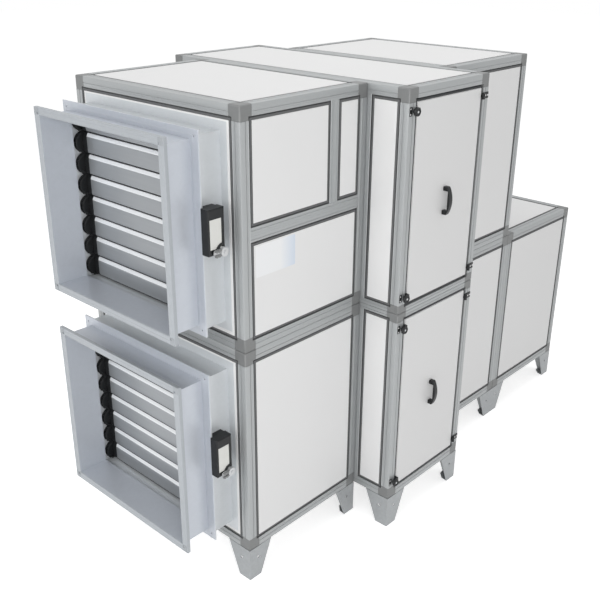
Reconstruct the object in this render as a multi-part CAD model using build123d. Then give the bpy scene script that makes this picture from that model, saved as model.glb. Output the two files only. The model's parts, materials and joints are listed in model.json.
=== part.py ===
from build123d import *

import os
from collections import namedtuple
from math import cos, pi, radians, sin

os.makedirs("parts", exist_ok=True)

# Casing, mm: X runs along the unit from the dampers, Y across it, Z up from the floor
duct_length = 160
damper_length = 130
damper_section_length = 780
wheel_section_length = 640
rear_section_length = 770
tail_section_length = 780
casing_width = 1110
wheel_section_step = 230
level_height = 1060
foot_height = 175

# Profile frame
bar_face = 48
seam_bar_face = 28
bar_ease = 4
reveal = 17
reveal_depth = 2
panel_thickness = 46
step_mullion_inset = 2
cross_rail_height = 494
cross_rail_face = 63
post_mullion_place = 535
post_mullion_face = 54

# Feet
foot_sheet = 4
foot_leg_top = 145
foot_leg_bottom = 74
foot_hole_inset = 58
foot_hole_height = 110
foot_hole_radius = 7
foot_flange_depth = 68
foot_flange_end = 37

# Doors and their fittings
door_skin_thickness = 6
door_band_thickness = 14
door_leaf_thickness = 26
door_gap = 6
door_leaf_inset = 16
gasket_width = 24
gasket_gap = 6
gasket_depth = 18
hinge_axis_inset = 9
hinge_axis_offset = 8.5
hinge_end_distance = 38
hinge_height = 30
hinge_barrel_radius = 8
hinge_pin_radius = 3
pin_clearance = 0.05
hinge_plate = 3
hinge_fixed_length = 52
knuckle_gap = 1
knob_radius = 20
knob_grip_sides = 16
knob_thickness = 14
knob_end_distance = 36
knob_overhang = 33
knob_spindle_radius = 4
latch_arm_gap = 8
latch_arm_thickness = 6
latch_arm_width = 26
keeper_place = 13
keeper_width = 18
keeper_height = 40
handle_hole_distance = 117
handle_length = 138
handle_reach = 42
handle_shoulder = 24
handle_width = 26
handle_thickness = 15
handle_drop = 20

# Dampers
damper_rise = 5
damper_side_margin = 117
damper_end_margin = 116
damper_wall = 5
damper_flange = 25
flange_thickness = 4
duct_wall = 2
duct_side_inset = 26
duct_end_inset = 18
duct_flange = 34
duct_lip = 18
flange_hole_radius = 5
flange_hole_inset = 26
seat_overlap = 5
blade_count = 8
blade_end_margin = 14
blade_gap = 6
blade_thickness = 17
blade_axis_back = 70
blade_end_gap = 6
axle_radius = 6
axle_clearance = 0.05
axle_seat = 3.5
axle_end_gap = 0.5
gear_width = 20
gear_wall_gap = 2
gear_teeth = 18
gear_tip = 3
gear_root = 5
gear_backlash_deg = 0.5
end_cap_length = 28
end_cap_margin = 1.5

# Actuators
actuator_width = 87
actuator_height = 195
actuator_reach = 72
actuator_below_axle = 11
axle_stub = 4
actuator_toward_duct = 69
actuator_ease = 5
actuator_base_inset = 17
actuator_base_clear = 3
actuator_bore_radius = 9
clamp_radius = 15
clamp_length = 16
clamp_gap = 1
clamp_ribs = 12
clamp_rib_depth = 2

# Rounds that repeat many times are drawn with few sides
small_round_sides = 12
cut_overrun = 1

casing_length = (
    damper_section_length + wheel_section_length + rear_section_length + tail_section_length
)
front_x = (duct_length + damper_length - casing_length) / 2
wheel_x = front_x + damper_section_length
rear_x = wheel_x + wheel_section_length
tail_x = rear_x + rear_section_length
seam_z = foot_height + level_height
top_z = seam_z + level_height
casing_half = casing_width / 2
wheel_half = casing_half + wheel_section_step
inset = bar_face + reveal
damper_width = casing_width - 2 * damper_side_margin
damper_height = level_height - 2 * damper_end_margin
duct_opening_width = damper_width - 2 * duct_side_inset
duct_opening_height = damper_height - 2 * duct_end_inset
blade_pitch = (damper_height - 2 * blade_end_margin) / blade_count
blade_chord = blade_pitch - blade_gap
driven_blade = blade_count // 2
actuator_front = damper_width / 2 + actuator_reach
nodes = {}

Section = namedtuple("Section", "name level x0 x1 half z0 z1 low_face high_face")


def block(x0, x1, y0, y1, z0, z1):
    """A box between two corners."""
    centre = ((x0 + x1) / 2, (y0 + y1) / 2, (z0 + z1) / 2)
    return Pos(*centre) * Box(abs(x1 - x0), abs(y1 - y0), abs(z1 - z0))


def cylinder_between(start, end, radius):
    """A round bar from one point to another along an axis of the frame."""
    run = Vector(*end) - Vector(*start)
    return extrude(Plane(start, z_dir=run) * Circle(radius), run.length)


def few_sided_pin(start, end, radius):
    """A small round bar whose corners lie on its radius."""
    run = Vector(*end) - Vector(*start)
    outline = RegularPolygon(radius, small_round_sides, major_radius=True)
    return extrude(Plane(start, z_dir=run) * outline, run.length)


def few_sided_bore(start, end, radius):
    """The space of a small round hole, whose flats lie on its radius so that a pin turns in it."""
    run = Vector(*end) - Vector(*start)
    outline = RegularPolygon(radius, small_round_sides, major_radius=False)
    return extrude(Plane(start, z_dir=run) * outline, run.length)


def nearest_edges(solid, axis, points):
    """The edge along an axis that runs closest to each of the points."""
    edges = solid.edges().filter_by(axis)
    return [min(edges, key=lambda edge: edge.distance_to(Vector(*point))) for point in points]


def make_sections():
    """The seven sections, with low rail faces where the wide ones meet."""
    stations = {
        "damper_section": (front_x, wheel_x, casing_half),
        "wheel_section": (wheel_x, rear_x, wheel_half),
        "rear_section": (rear_x, tail_x, casing_half),
        "tail_section": (tail_x, front_x + casing_length, casing_half),
    }
    sections = []
    for level, z0 in (("lower", foot_height), ("upper", seam_z)):
        for name, (x0, x1, half) in stations.items():
            if level == "upper" and name == "tail_section":
                continue
            wide = name == "wheel_section"
            low = seam_bar_face if wide and level == "upper" else bar_face
            high = seam_bar_face if wide and level == "lower" else bar_face
            sections.append(Section(name, level, x0, x1, half, z0, z0 + level_height, low, high))
    return sections


def edge_bar(section, axis, ends, x_side, y_side, z_side):
    """One profile bar along an edge of a section, with its outer corner eased."""
    x_edge = section.x1 if x_side > 0 else section.x0
    y_edge = section.half * y_side
    z_edge = section.z1 if z_side > 0 else section.z0
    height = section.high_face if z_side > 0 else section.low_face
    x_range = (x_edge - bar_face * x_side, x_edge)
    y_range = (y_edge - bar_face * y_side, y_edge)
    z_range = (z_edge - height * z_side, z_edge)
    if axis == Axis.X:
        x_range = ends
    elif axis == Axis.Y:
        y_range = ends
    else:
        z_range = ends
    bar = block(*x_range, *y_range, *z_range)
    corner = (x_edge, y_edge, z_edge)
    return chamfer(nearest_edges(bar, axis, [corner]), bar_ease)


def section_frame(section):
    """Twelve bars between the corner castings."""
    along = (section.x0 + inset, section.x1 - inset)
    across = (inset - section.half, section.half - inset)
    up = (section.z0 + section.low_face + reveal, section.z1 - section.high_face - reveal)
    bars = []
    for first in (-1, 1):
        for second in (-1, 1):
            bars.append(edge_bar(section, Axis.X, along, first, first, second))
            bars.append(edge_bar(section, Axis.Y, across, first, first, second))
            bars.append(edge_bar(section, Axis.Z, up, first, second, second))
    return bars


def corner_casting(x, y, z, x_side, y_side, z_side, face):
    """A corner block with an arm towards each of its three bars, its outer edges eased."""
    x_face, y_face, z_face = x - bar_face * x_side, y - bar_face * y_side, z - face * z_side
    casting = block(x, x - inset * x_side, y, y_face, z, z_face)
    casting += block(x, x_face, y, y - inset * y_side, z, z_face)
    casting += block(x, x_face, y, y_face, z, z_face - reveal * z_side)
    corner = Vector(x, y, z)
    outer = [edge for edge in casting.edges() if edge.distance_to(corner) < bar_ease]
    return chamfer(outer, bar_ease)


def corner_castings(section):
    """The eight castings of one section."""
    return [
        corner_casting(
            section.x1 if x_side > 0 else section.x0,
            section.half * y_side,
            section.z1 if z_side > 0 else section.z0,
            x_side, y_side, z_side,
            section.high_face if z_side > 0 else section.low_face,
        )
        for x_side in (-1, 1)
        for y_side in (-1, 1)
        for z_side in (-1, 1)
    ]


def face_block(face, plane, a0, a1, b0, b1, depth0, depth1):
    """A box let into a face of the casing, from one depth to another below its plane."""
    if face in ("-Y", "+Y"):
        sign = 1 if face == "+Y" else -1
        return block(a0, a1, plane - sign * depth0, plane - sign * depth1, b0, b1)
    if face in ("top", "bottom"):
        sign = 1 if face == "top" else -1
        return block(a0, a1, b0, b1, plane - sign * depth0, plane - sign * depth1)
    sign = 1 if face == "+X" else -1
    return block(plane - sign * depth0, plane - sign * depth1, a0, a1, b0, b1)


def add_panel(node, face, plane, a0, a1, b0, b1):
    """A panel flush with the casing's face, and the sunk seal between it and the bars."""
    panel = face_block(face, plane, a0, a1, b0, b1, 0, panel_thickness)
    seal = face_block(
        face, plane, a0 - reveal, a1 + reveal, b0 - reveal, b1 + reveal,
        reveal_depth, panel_thickness,
    )
    nodes.setdefault(node, []).append(panel)
    nodes.setdefault("panel_seals", []).append(seal - panel)
    return panel


def inner_span(section):
    """The panel's limits along, across and up one section."""
    along = (section.x0 + inset, section.x1 - inset)
    across = (inset - section.half, section.half - inset)
    up = (section.z0 + section.low_face + reveal, section.z1 - section.high_face - reveal)
    return along, across, up


def divided_side(section):
    """The upper damper section's near side: a cross rail, a post above it and three panels."""
    along, across, up = inner_span(section)
    plane = -section.half
    rail = (section.z0 + cross_rail_height, section.z0 + cross_rail_height + cross_rail_face)
    post = (section.x0 + post_mullion_place, section.x0 + post_mullion_place + post_mullion_face)
    cross_rail = face_block(
        "-Y", plane, section.x0 + bar_face, section.x1 - bar_face, *rail, 0, bar_face
    )
    upright = face_block("-Y", plane, *post, rail[1], section.z1 - bar_face, 0, bar_face)
    nodes.setdefault("mullions", []).append(cross_rail + upright)
    above = (rail[1] + reveal, up[1])
    add_panel("side_panels", "-Y", plane, *along, up[0], rail[0] - reveal)
    add_panel("side_panels", "-Y", plane, along[0], post[0] - reveal, *above)
    add_panel("side_panels", "-Y", plane, post[1] + reveal, along[1], *above)


def stepped_ends(section):
    """The wide sections' ends: an upright mullion and a narrow panel on each side."""
    along, across, up = inner_span(section)
    centre = casing_half - step_mullion_inset
    mullion = (centre - bar_face / 2, centre + bar_face / 2)
    height = (section.z0 + section.low_face, section.z1 - section.high_face)
    for face, plane in (("-X", section.x0), ("+X", section.x1)):
        for side in (-1, 1):
            upright = face_block(
                face, plane, side * mullion[0], side * mullion[1], *height, 0, bar_face
            )
            nodes.setdefault("mullions", []).append(upright)
            limits = sorted((side * (mullion[1] + reveal), side * across[1]))
            add_panel("end_panels", face, plane, *limits, *up)


def clad_section(section, damper_cutout):
    """The panels of one section."""
    along, across, up = inner_span(section)
    add_panel("roof_panels", "top", section.z1, *along, *across)
    add_panel("floor_panels", "bottom", section.z0, *along, *across)
    add_panel("side_panels", "+Y", section.half, *along, *up)
    if section.name == "wheel_section":
        stepped_ends(section)
    elif section.name == "damper_section" and section.level == "upper":
        divided_side(section)
    else:
        add_panel("side_panels", "-Y", -section.half, *along, *up)
    if section.name == "damper_section":
        node = section.level + "_damper_panel"
        panel = add_panel(node, "-X", section.x0, *across, *up)
        nodes[node] = [panel - damper_cutout]
    last = "tail_section" if section.level == "lower" else "rear_section"
    if section.name == last:
        add_panel("end_panels", "+X", section.x1, *across, *up)


def foot(x, y, x_side, y_side, bolted):
    """A folded-sheet foot: two tapering legs, a seat under the frame and a flange on the floor.

    The hole of its lengthways leg is truly round where the unit is bolted down by it.
    """
    outline = [
        (0, 0),
        (foot_leg_bottom, 0),
        (foot_leg_top, foot_height),
        (0, foot_height),
    ]
    leg = extrude(Plane.XZ * make_face(Polyline(outline, close=True)), -foot_sheet)
    hole = (
        (foot_hole_inset, -cut_overrun, foot_hole_height),
        (foot_hole_inset, foot_sheet + cut_overrun, foot_hole_height),
        foot_hole_radius,
    )
    other_leg = mirror(leg - few_sided_bore(*hole), Plane((0, 0, 0), z_dir=(1, -1, 0)))
    leg -= cylinder_between(*hole) if bolted else few_sided_bore(*hole)
    seat = block(0, foot_leg_top, 0, bar_face, foot_height - foot_sheet, foot_height)
    seat += block(0, bar_face, 0, foot_leg_top, foot_height - foot_sheet, foot_height)
    flange_outline = [
        (0, 0),
        (foot_leg_bottom, 0),
        (foot_flange_depth, foot_flange_end),
        (foot_flange_end, foot_flange_depth),
        (0, foot_leg_bottom),
    ]
    flange = extrude(make_face(Polyline(flange_outline, close=True)), foot_sheet)
    shape = leg + other_leg + seat + flange
    if x_side < 0:
        shape = mirror(shape, Plane.YZ)
    if y_side < 0:
        shape = mirror(shape, Plane.XZ)
    return Pos(x, y, 0) * shape


def section_feet(section):
    """Four feet, one under each corner of a lower section."""
    bolted = section.name != "rear_section"
    return [
        foot(x, side * section.half, x_side, -side, bolted)
        for x, x_side in ((section.x0, 1), (section.x1, -1))
        for side in (-1, 1)
    ]


def door_opening(section):
    """The clear opening between the bars of a wide section's near side."""
    return (
        section.x0 + bar_face,
        section.x1 - bar_face,
        section.z0 + section.low_face,
        section.z1 - section.high_face,
    )


def reveal_root(edge, side, section, depth, low, high):
    """A block on the door's band that fills the reveal's strip beside the skin, up to a depth."""
    strip = edge + side * (reveal - door_gap)
    back = door_skin_thickness - section.half
    return block(edge, strip, back, depth, low, high)


def hinge_axis(section):
    """A point on the door's hinge line."""
    x = section.x1 - inset + hinge_axis_inset
    return x, -section.half - hinge_axis_offset


def add_door(section):
    """A door leaf of skin, edge band and inner leaf, with its gasket round the opening."""
    x0, x1, z0, z1 = door_opening(section)
    plane = -section.half
    skin = face_block(
        "-Y", plane, x0 + reveal, x1 - reveal, z0 + reveal, z1 - reveal, 0, door_skin_thickness
    )
    band_back = door_skin_thickness + door_band_thickness
    band = face_block(
        "-Y", plane, x0 + door_gap, x1 - door_gap, z0 + door_gap, z1 - door_gap,
        door_skin_thickness, band_back,
    )
    edge = reveal + door_leaf_inset
    leaf = face_block(
        "-Y", plane, x0 + edge, x1 - edge, z0 + edge, z1 - edge,
        band_back, band_back + door_leaf_thickness,
    )
    nodes[section.level + "_door"] = [skin + band + leaf]
    front = band_back + gasket_gap
    gasket = face_block("-Y", plane, x0, x1, z0, z1, front, front + gasket_depth)
    gasket -= face_block(
        "-Y", plane, x0 + gasket_width, x1 - gasket_width,
        z0 + gasket_width, z1 - gasket_width, 0, panel_thickness * 2,
    )
    nodes.setdefault("door_gaskets", []).append(gasket)


def hinge_parts(section, z):
    """The two halves of a three-knuckle hinge: the door's knuckle, then fixed leaf and pin."""
    x, y = hinge_axis(section)
    face = -section.half
    low, high = z - hinge_height / 2, z + hinge_height / 2
    third = hinge_height / 3
    plate_front = face - hinge_plate
    web_back = face - knuckle_gap
    door_leaf = reveal_root(section.x1 - inset, 1, section, y, low + third, high - third)
    door_leaf += few_sided_pin((x, y, low + third), (x, y, high - third), hinge_barrel_radius)
    bore = hinge_pin_radius + pin_clearance
    door_leaf -= few_sided_bore((x, y, low), (x, y, high), bore)
    post_side = section.x1 - bar_face + knuckle_gap * 2
    fixed_leaf = block(post_side, x + hinge_fixed_length, face, plate_front, low, high)
    for start, end in ((low, low + third - knuckle_gap), (high - third + knuckle_gap, high)):
        fixed_leaf += block(x, post_side + hinge_plate, web_back, y, start, end)
        fixed_leaf += few_sided_pin((x, y, start), (x, y, end), hinge_barrel_radius)
    fixed_leaf += few_sided_pin((x, y, low), (x, y, high), hinge_pin_radius)
    return door_leaf, fixed_leaf


def latch_parts(section, z):
    """A knob on its spindle, the bracket on the door that carries it, and the keeper's plate."""
    face = -section.half
    door_edge = section.x0 + inset
    x = door_edge - knob_overhang
    arm_back = face - latch_arm_gap
    arm_front = arm_back - latch_arm_thickness
    low, high = z - latch_arm_width / 2, z + latch_arm_width / 2
    bracket = reveal_root(door_edge, -1, section, arm_front, low, high)
    bracket += block(x, door_edge, arm_back, arm_front, low, high)
    bracket += few_sided_pin((x, arm_back, z), (x, arm_front, z), latch_arm_width / 2)
    bore = knob_spindle_radius + pin_clearance
    bracket -= few_sided_bore((x, face, z), (x, arm_front - cut_overrun, z), bore)
    knob_back = arm_front - knuckle_gap / 2
    grip_plane = Plane((x, knob_back, z), x_dir=(1, 0, 0), z_dir=(0, -1, 0))
    knob = extrude(grip_plane * RegularPolygon(knob_radius, knob_grip_sides), knob_thickness)
    knob += few_sided_pin((x, arm_back, z), (x, knob_back, z), knob_spindle_radius)
    keeper_x = section.x0 + keeper_place
    keeper = block(
        keeper_x - keeper_width / 2, keeper_x + keeper_width / 2, face, face - hinge_plate,
        z - keeper_height / 2, z + keeper_height / 2,
    )
    return knob, bracket, keeper


def bridge_handle(section):
    """A pull on the middle of the door: an arched grip with a straight inner edge."""
    x = (section.x0 + section.x1) / 2
    z = sum(door_opening(section)[2:]) / 2 - handle_drop
    half = handle_length / 2
    arch = ThreePointArc((handle_shoulder, -half), (handle_reach, 0), (handle_shoulder, half))
    back = Polyline((handle_shoulder, half), (0, half), (0, -half), (handle_shoulder, -half))
    hollow = Rectangle(
        handle_reach - handle_thickness, 2 * handle_hole_distance - handle_length,
        align=(Align.MIN, Align.CENTER),
    )
    side_view = Plane((x + handle_width / 2, -section.half, z), x_dir=(0, -1, 0), z_dir=(-1, 0, 0))
    return extrude(side_view * (make_face([arch, back]) - hollow), handle_width)


def add_door_fittings(section):
    """Hinges, latches and the handle of one door."""
    x0, x1, z0, z1 = door_opening(section)
    leaves = []
    for z in (z0 + reveal + hinge_end_distance, z1 - reveal - hinge_end_distance):
        door_leaf, fixed_leaf = hinge_parts(section, z)
        leaves.append(door_leaf)
        nodes.setdefault("hinge_brackets", []).append(fixed_leaf)
    places = {
        "bottom": z0 + reveal + knob_end_distance,
        "top": z1 - reveal - knob_end_distance,
    }
    for place, z in places.items():
        knob, bracket, keeper = latch_parts(section, z)
        nodes[f"{section.level}_door_{place}_knob"] = [knob]
        leaves.append(bracket)
        nodes.setdefault("latch_keepers", []).append(keeper)
    nodes[section.level + "_door_fittings"] = leaves
    nodes[section.level + "_door_handle"] = [bridge_handle(section)]


def damper_centre(section):
    """The height of the damper's middle."""
    return (section.z0 + section.z1) / 2 + damper_rise


def blade_axes(section):
    """Where the blade axles lie: one X for all, and their heights."""
    middle = (section.z0 + section.z1) / 2
    first = middle - blade_pitch * (blade_count - 1) / 2
    return front_x - blade_axis_back, [first + blade_pitch * i for i in range(blade_count)]


def tube_between(x0, x1, width, height, z, wall):
    """A rectangular sheet tube along X, given its outer size."""
    outer = block(x0, x1, -width / 2, width / 2, z - height / 2, z + height / 2)
    inner = block(
        x0 - cut_overrun, x1 + cut_overrun, wall - width / 2, width / 2 - wall,
        z - height / 2 + wall, z + height / 2 - wall,
    )
    return outer - inner


def corner_holes(x0, x1, width, height, z, bore):
    """Four bolt holes near the corners of a flange, each made by the given function."""
    y_place = width / 2 - flange_hole_inset
    z_place = height / 2 - flange_hole_inset
    holes = Part()
    for y_side in (-1, 1):
        for z_side in (-1, 1):
            y, hole_z = y_side * y_place, z + z_side * z_place
            ends = (x0 - cut_overrun, y, hole_z), (x1 + cut_overrun, y, hole_z)
            holes += bore(*ends, flange_hole_radius)
    return holes


def damper_cutout(section):
    """The hole in the end panel behind a damper, a little inside the damper's walls."""
    z = damper_centre(section)
    half_width = damper_width / 2 - damper_wall - seat_overlap
    half_height = damper_height / 2 - damper_wall - seat_overlap
    return block(
        front_x - cut_overrun, front_x + panel_thickness + cut_overrun, -half_width, half_width,
        z - half_height, z + half_height,
    )


def add_damper_casing(section):
    """The damper's tube and its front flange, with a seat for each axle's end in both walls."""
    z = damper_centre(section)
    front = front_x - damper_length
    casing = tube_between(front, front_x, damper_width, damper_height, z, damper_wall)
    flange_width = damper_width + 2 * damper_flange
    flange_height = damper_height + 2 * damper_flange
    casing += tube_between(
        front, front + flange_thickness, flange_width, flange_height, z,
        damper_flange + damper_wall,
    )
    casing -= corner_holes(
        front, front + flange_thickness, flange_width, flange_height, z, few_sided_bore
    )
    axle_x, heights = blade_axes(section)
    wall_face = damper_width / 2 - damper_wall
    for i, height in enumerate(heights, start=1):
        bore = cylinder_between if i == driven_blade else few_sided_bore
        for side in (-1, 1):
            depth = damper_wall + cut_overrun if i == driven_blade and side < 0 else axle_seat
            casing -= bore(
                (axle_x, side * (wall_face - cut_overrun), height),
                (axle_x, side * (wall_face + depth), height),
                axle_radius + axle_clearance,
            )
    nodes[section.level + "_damper_casing"] = [casing]


def add_front_duct(section):
    """The duct piece in front of the damper: a sheet tube, a back flange and a lipped front one."""
    z = damper_centre(section)
    back = front_x - damper_length
    front = back - duct_length
    width = duct_opening_width + 2 * duct_wall
    height = duct_opening_height + 2 * duct_wall
    duct = tube_between(front, back, width, height, z, duct_wall)
    flange_width = damper_width + 2 * damper_flange
    flange_height = damper_height + 2 * damper_flange
    back_plate = block(
        back - flange_thickness, back, -flange_width / 2, flange_width / 2,
        z - flange_height / 2, z + flange_height / 2,
    )
    duct += back_plate - block(
        back - duct_length, back + cut_overrun,
        -width / 2, width / 2, z - height / 2, z + height / 2,
    )
    duct -= corner_holes(
        back - flange_thickness, back, flange_width, flange_height, z, few_sided_bore
    )
    front_width = width + 2 * duct_flange
    front_height = height + 2 * duct_flange
    duct += tube_between(
        front, front + flange_thickness, front_width, front_height, z, duct_flange + duct_wall
    )
    duct += tube_between(
        front, front + duct_lip, front_width, front_height, z, flange_thickness
    )
    duct -= corner_holes(
        front, front + flange_thickness, front_width, front_height, z, cylinder_between
    )
    nodes[section.level + "_front_duct"] = [duct]


def blade_section(chord, thickness):
    """A lens-shaped blade section, chord along Z."""
    half = chord / 2
    bulge = thickness / 2
    upper = ThreePointArc((0, -half), (bulge, 0), (0, half))
    lower = ThreePointArc((0, half), (-bulge, 0), (0, -half))
    return make_face([upper, lower])


def gear_outline(between):
    """A toothed wheel with flat tooth tips and straight flanks that meet in the gap's bottom.

    A tooth points up, or a gap where the wheel stands between two that point a tooth at it.
    """
    pitch_radius = blade_pitch / 2
    step = 2 * pi / gear_teeth
    root_radius = pitch_radius - gear_root
    tip_radius = pitch_radius + gear_tip
    share_above_pitch = gear_tip / (gear_tip + gear_root)
    half_pitch_tooth = step / 4 - radians(gear_backlash_deg) / 2
    half_tip = (half_pitch_tooth - share_above_pitch * step / 2) / (1 - share_above_pitch)
    upward = -pi / 2 + (step / 2 if between else 0)
    points = []
    for i in range(gear_teeth):
        for angle, radius in (
            (-half_tip, tip_radius),
            (half_tip, tip_radius),
            (step / 2, root_radius),
        ):
            turn = upward + i * step + angle
            points.append((radius * cos(turn), radius * sin(turn)))
    return make_face(Polyline(points, close=True))


def damper_blade(axle_x, height, between, driven):
    """An aerofoil blade with its end cap, gear wheel and axle, and a clamp on the driven one."""
    wall_face = damper_width / 2 - damper_wall
    gear_back = wall_face - gear_wall_gap
    gear_front = gear_back - gear_width
    cap_front = gear_front - end_cap_length
    axle_end = wall_face + axle_seat - axle_end_gap

    def across(y):
        return Plane((axle_x, y, height), x_dir=(1, 0, 0), z_dir=(0, 1, 0))

    blade_start = blade_end_gap - wall_face
    outline = blade_section(blade_chord, blade_thickness)
    blade = extrude(across(blade_start) * outline, cap_front - blade_start)
    cap = blade_section(blade_chord, blade_thickness + 2 * end_cap_margin)
    blade += extrude(across(cap_front) * cap, end_cap_length)
    blade += extrude(across(gear_front) * gear_outline(between), gear_width)
    if not driven:
        return blade + few_sided_pin(
            (axle_x, -axle_end, height), (axle_x, axle_end, height), axle_radius
        )
    clamp_front = -actuator_front - clamp_gap - clamp_length
    rim = Circle(clamp_radius)
    for i in range(clamp_ribs):
        angle = 2 * pi * i / clamp_ribs
        notch = Pos(clamp_radius * cos(angle), clamp_radius * sin(angle))
        rim -= notch * Rectangle(clamp_rib_depth, clamp_rib_depth)
    blade += extrude(across(clamp_front) * rim, clamp_length)
    return blade + cylinder_between(
        (axle_x, clamp_front - axle_stub, height), (axle_x, axle_end, height), axle_radius
    )


def add_blades(section):
    """Eight geared blades, each a body of its own."""
    axle_x, heights = blade_axes(section)
    for i, height in enumerate(heights, start=1):
        between = i % 2 == 0 and gear_teeth % 2 == 0
        blade = damper_blade(axle_x, height, between, i == driven_blade)
        nodes[f"{section.level}_blade_{i}"] = [blade]


def add_actuator(section):
    """The actuator on the damper's near wall, bored for the driven axle."""
    axle_x, heights = blade_axes(section)
    axle_z = heights[driven_blade - 1]
    x0 = axle_x - actuator_toward_duct
    x1 = x0 + actuator_width
    z0 = axle_z - actuator_below_axle
    z1 = z0 + actuator_height
    wall = damper_width / 2
    body_back = wall + damper_flange + actuator_base_clear
    body = block(x0, x1, -actuator_front, -body_back, z0, z1)
    body = chamfer(body.faces().sort_by(Axis.Y)[0].edges(), actuator_ease)
    base = block(
        x0 + actuator_base_inset, x1 - actuator_base_clear, -body_back, -wall,
        z0 + actuator_base_clear, z1 - actuator_base_clear,
    )
    bore = cylinder_between(
        (axle_x, cut_overrun - wall, axle_z), (axle_x, -actuator_front - cut_overrun, axle_z),
        actuator_bore_radius,
    )
    nodes[section.level + "_actuator"] = [body + base - bore]


def build():
    """All nodes of the unit."""
    for section in make_sections():
        nodes[f"{section.level}_{section.name}_frame"] = section_frame(section)
        tail = section.name == "tail_section"
        castings = "tail_corner_castings" if tail else section.level + "_corner_castings"
        nodes.setdefault(castings, []).extend(corner_castings(section))
        clad_section(section, damper_cutout(section))
        if section.level == "lower":
            nodes.setdefault("tail_feet" if tail else "feet", []).extend(section_feet(section))
        if section.name == "wheel_section":
            add_door(section)
            add_door_fittings(section)
        if section.name == "damper_section":
            add_damper_casing(section)
            add_front_duct(section)
            add_blades(section)
            add_actuator(section)


build()
for name, shapes in nodes.items():
    solids = [solid for shape in shapes for solid in shape.solids()]
    export_step(Compound(children=solids), f"parts/{name}.step")
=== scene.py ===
import json
from math import cos, pi, radians, sin

import bmesh
import bpy
from mathutils import Matrix, Vector

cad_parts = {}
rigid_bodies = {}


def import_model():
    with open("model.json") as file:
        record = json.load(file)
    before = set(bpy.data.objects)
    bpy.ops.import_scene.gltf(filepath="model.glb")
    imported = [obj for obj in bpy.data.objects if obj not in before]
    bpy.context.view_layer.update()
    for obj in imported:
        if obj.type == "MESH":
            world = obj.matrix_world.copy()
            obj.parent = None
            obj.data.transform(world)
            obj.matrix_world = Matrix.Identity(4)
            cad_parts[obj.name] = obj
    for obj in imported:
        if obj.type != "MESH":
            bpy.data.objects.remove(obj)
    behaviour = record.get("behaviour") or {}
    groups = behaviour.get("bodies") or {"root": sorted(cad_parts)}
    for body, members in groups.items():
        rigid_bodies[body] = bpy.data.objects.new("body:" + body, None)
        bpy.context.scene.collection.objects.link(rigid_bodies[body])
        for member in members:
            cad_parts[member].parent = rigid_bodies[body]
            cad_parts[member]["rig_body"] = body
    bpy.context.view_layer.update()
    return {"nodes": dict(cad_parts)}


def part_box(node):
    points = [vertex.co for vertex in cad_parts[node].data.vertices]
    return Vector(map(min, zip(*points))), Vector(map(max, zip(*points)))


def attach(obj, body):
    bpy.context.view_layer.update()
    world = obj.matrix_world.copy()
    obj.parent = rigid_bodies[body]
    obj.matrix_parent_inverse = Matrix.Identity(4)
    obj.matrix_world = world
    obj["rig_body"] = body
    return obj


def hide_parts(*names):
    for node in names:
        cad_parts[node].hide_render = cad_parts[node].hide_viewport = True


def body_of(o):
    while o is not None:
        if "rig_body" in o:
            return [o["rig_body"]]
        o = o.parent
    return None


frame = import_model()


# The camera stands off the unit's damper end, a little above its roof,
# at the distance that gives the photograph's perspective.
viewpoint = Vector((-3.5585, -2.9382, 2.8926))
view_azimuth = radians(-47.0844)
view_elevation = radians(23.3407)
view_roll = radians(0.2877)
lens_mm = 50.77

back = Vector((
    sin(view_azimuth) * cos(view_elevation),
    -cos(view_azimuth) * cos(view_elevation),
    sin(view_elevation),
))
level_right = (-back).cross(Vector((0, 0, 1))).normalized()
level_up = level_right.cross(-back)
right = cos(view_roll) * level_right + sin(view_roll) * level_up
up = cos(view_roll) * level_up - sin(view_roll) * level_right
camera = bpy.data.objects.new("camera", bpy.data.cameras.new("camera"))
camera.data.lens = lens_mm
camera_turn = Matrix((right, up, back)).transposed().to_4x4()
camera.matrix_world = Matrix.Translation(viewpoint) @ camera_turn
bpy.context.scene.collection.objects.link(camera)
bpy.context.scene.camera = camera
bpy.context.scene.view_settings.view_transform = "Standard"


# A plain studio: a pale floor that keeps the unit's shadow, a white surround,
# a large soft lamp overhead, one beyond the damper end and one by its near corner.
floor_size = 60
floor_gap = 0.001
floor_colour = (0.82, 0.82, 0.82, 1)
floor_glow = 0.62
surround_light = 0.50
lamp_target = Vector((-0.4, 0, 1.1))
lamps = (
    ("overhead lamp", (0.6, 0.3, 7.0), 5.0, 115),
    ("end lamp", (-7.0, 0.3, 3.2), 3.0, 120),
    ("corner lamp", (-4.5, -5.5, 3.0), 3.0, 150),
)


def surface_material(name):
    """A node material and its surface shader."""
    material = bpy.data.materials.new(name)
    material.use_nodes = True
    return material, material.node_tree, material.node_tree.nodes["Principled BSDF"]


def seen_directly(tree):
    """One where the camera, a reflection or a view through glass sees the surface."""
    rays = tree.nodes.new("ShaderNodeLightPath")
    total = rays.outputs["Is Camera Ray"]
    for kind in ("Is Glossy Ray", "Is Transmission Ray"):
        larger = tree.nodes.new("ShaderNodeMath")
        larger.operation = "MAXIMUM"
        tree.links.new(total, larger.inputs[0])
        tree.links.new(rays.outputs[kind], larger.inputs[1])
        total = larger.outputs[0]
    return total


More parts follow.
